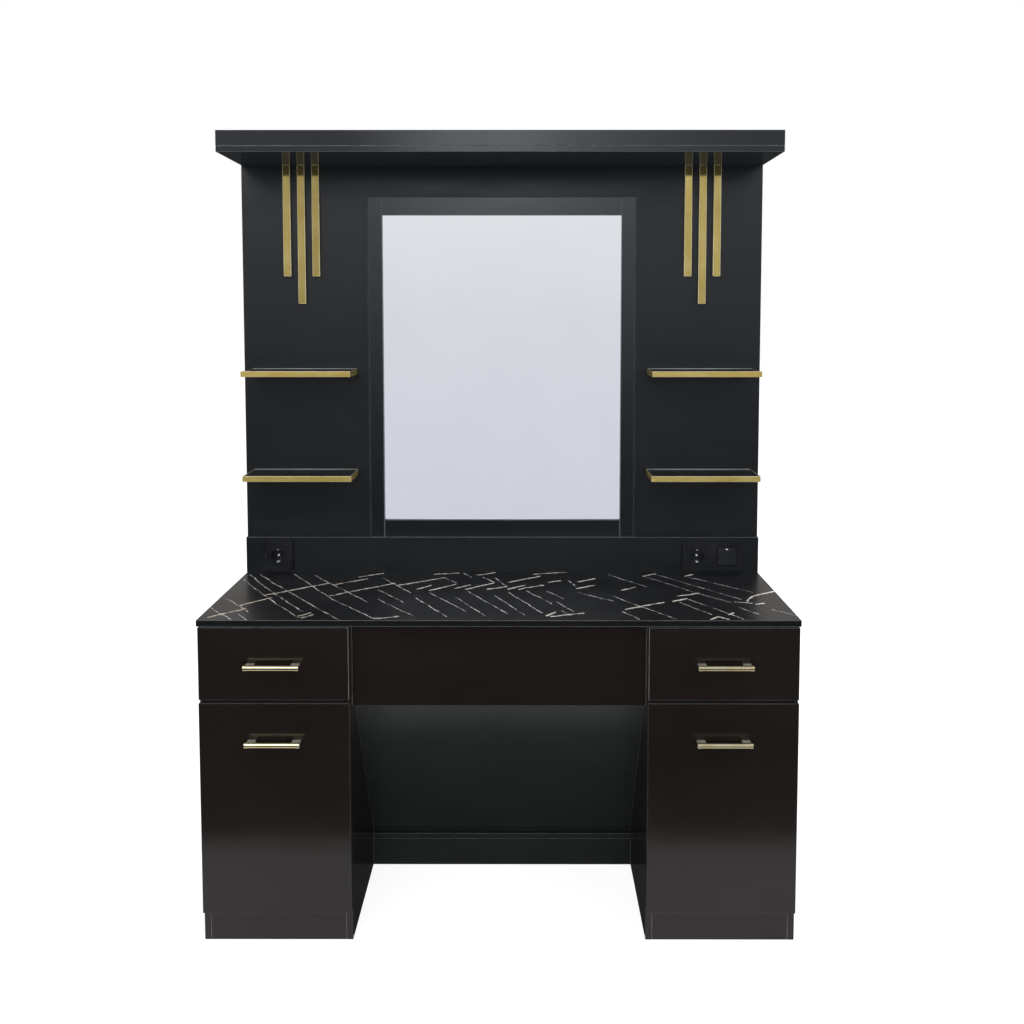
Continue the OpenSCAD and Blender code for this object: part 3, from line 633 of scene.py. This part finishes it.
def studio_world():
    """White to the camera. Reflections and light come from a room that is dark below the horizon;
    the perfectly sharp mirror alone sees an even, pale room."""
    world = bpy.data.worlds.new("studio")
    scene.world = world
    world.use_nodes = True
    tree = world.node_tree
    tree.nodes.clear()
    link = tree.links.new

    def add(kind, **settings):
        node = tree.nodes.new(kind)
        for key, value in settings.items():
            setattr(node, key, value)
        return node

    def choose(factor, a, b):
        node = add("ShaderNodeMix", data_type="RGBA")
        for name, value in (("Factor", factor), ("A", a), ("B", b)):
            if isinstance(value, tuple):
                node.inputs[name].default_value = value
            else:
                link(value, node.inputs[name])
        return node.outputs["Result"]

    def product(a, b):
        node = add("ShaderNodeVectorMath", operation="MULTIPLY")
        link(a, node.inputs[0])
        link(b, node.inputs[1])
        return node.outputs["Vector"]

    def ramp(factor, stops):
        """stops: slope of the direction (-0.5 to 0.5), then the colour seen there."""
        node = add("ShaderNodeValToRGB")
        elements = node.color_ramp.elements
        while len(elements) < len(stops):
            elements.new(0.5)
        for element, (at, colour) in zip(elements, stops):
            element.position = at + 0.5
            element.color = (*colour, 1)
        link(factor, node.inputs[0])
        return node.outputs["Color"]

    split = add("ShaderNodeSeparateXYZ")
    link(add("ShaderNodeTexCoord").outputs["Generated"], split.inputs[0])
    ahead = add("ShaderNodeMath", operation="ABSOLUTE")
    link(split.outputs["Y"], ahead.inputs[0])

    def slope(axis):
        """Tangent of the direction's angle to the Y axis, shifted to lie between 0 and 1."""
        ratio = add("ShaderNodeMath", operation="DIVIDE")
        link(split.outputs[axis], ratio.inputs[0])
        link(ahead.outputs[0], ratio.inputs[1])
        shifted = add("ShaderNodeMath", operation="ADD", use_clamp=True)
        link(ratio.outputs[0], shifted.inputs[0])
        shifted.inputs[1].default_value = 0.5
        return shifted.outputs[0]

    rise, across = slope("Z"), slope("X")
    levels = [(-0.5, 0.042), (-0.20, 0.042), (-0.12, 0.154), (-0.06, 0.364), (0.0, 0.616),
              (0.06, 0.784), (0.11, 0.70), (0.16, 0.59), (0.5, 0.60)]
    height_part = ramp(rise, [(at, (0.93 * v, v, 1.10 * v)) for at, v in levels])
    gains = [(-0.30, 0.96), (-0.25, 0.90), (-0.20, 0.68), (-0.15, 0.63), (-0.05, 0.71),
             (0.05, 0.73), (0.15, 0.87), (0.24, 0.97)]
    front = product(height_part, ramp(across, [(at, (v, v, v)) for at, v in gains]))
    lamp_height = ramp(rise, [(0.03, (0, 0, 0)), (0.10, (0.14, 0.14, 0.14)),
                              (0.17, (0.9, 0.95, 1.0)), (0.24, (0.9, 0.95, 1.0)),
                              (0.32, (0.2, 0.2, 0.2))])
    lamp_across = ramp(across, [(-0.17, (0, 0, 0)), (-0.08, (0.9, 0.9, 0.9)), (0.0, (1, 1, 1)),
                                (0.06, (0.45, 0.45, 0.45)), (0.20, (0, 0, 0))])
    lit = add("ShaderNodeVectorMath", operation="MULTIPLY_ADD")
    link(product(lamp_height, lamp_across), lit.inputs[0])
    lit.inputs[1].default_value = (3.0, 3.0, 3.0)
    link(front, lit.inputs[2])
    rear = ramp(rise, [(-0.03, (0.03, 0.03, 0.03)), (0.05, (0.46, 0.44, 0.42))])
    behind = add("ShaderNodeMapRange")
    behind.inputs["From Min"].default_value = -0.05
    behind.inputs["From Max"].default_value = 0.15
    link(split.outputs["Y"], behind.inputs["Value"])
    room = choose(behind.outputs[0], lit.outputs[0], rear)
    mirrored = ramp(rise, [(-0.21, (0.655, 0.675, 0.74)), (0.0, (0.72, 0.735, 0.78)),
                           (0.10, (0.79, 0.805, 0.83)), (0.16, (0.79, 0.805, 0.83)),
                           (0.26, (0.1, 0.1, 0.1))])
    rays = add("ShaderNodeLightPath")
    seen = choose(rays.outputs["Is Singular Ray"], room, mirrored)
    background = add("ShaderNodeBackground")
    link(choose(rays.outputs["Is Camera Ray"], seen, (1, 1, 1, 1)), background.inputs["Color"])
    link(background.outputs[0], add("ShaderNodeOutputWorld").inputs["Surface"])


def soft_light(name, place, target, size, power, glossy=True):
    """A rectangular lamp that looks at target; it can be left out of the reflections."""
    data = bpy.data.lights.new(name, "AREA")
    data.shape = "RECTANGLE"
    data.size, data.size_y = size
    data.energy = power
    light = bpy.data.objects.new(name, data)
    light.location = place
    light.rotation_euler = (Vector(target) - Vector(place)).to_track_quat("-Z", "Y").to_euler()
    light.visible_camera = False
    light.visible_glossy = glossy
    scene.collection.objects.link(light)


studio_world()
soft_light("key", (-1.6, -2.6, 3.6), (0, 0, 0.9), (1.6, 1.6), 36)
soft_light("fill", (2.2, -2.0, 3.2), (0, 0, 0.9), (1.4, 1.4), 20)
soft_light("low_fill", (0, -3.0, 0.35), (0, 0, 1.0), (2.4, 0.6), 55, glossy=False)
soft_light("rear_fill", (0.8, 3.2, 2.4), (0, 0.266, 1.0), (2.4, 1.6), 120, glossy=False)


# ---------------------------------------------------------------- camera

# Solved from the object's edges in the photo.
EYE = Vector((0.058, -2.602, 1.587))
TILT_DOWN = math.radians(3.71)
TURN = 0.0015
lens = bpy.data.cameras.new("camera")
lens.sensor_width = 36.0
lens.lens = 34.26
lens.shift_x = -0.0084
lens.shift_y = -0.130
camera = bpy.data.objects.new("camera", lens)
camera.location = EYE
camera.rotation_euler = (math.radians(90) - TILT_DOWN, 0, TURN)
scene.collection.objects.link(camera)
scene.camera = camera
scene.view_settings.view_transform = "Standard"
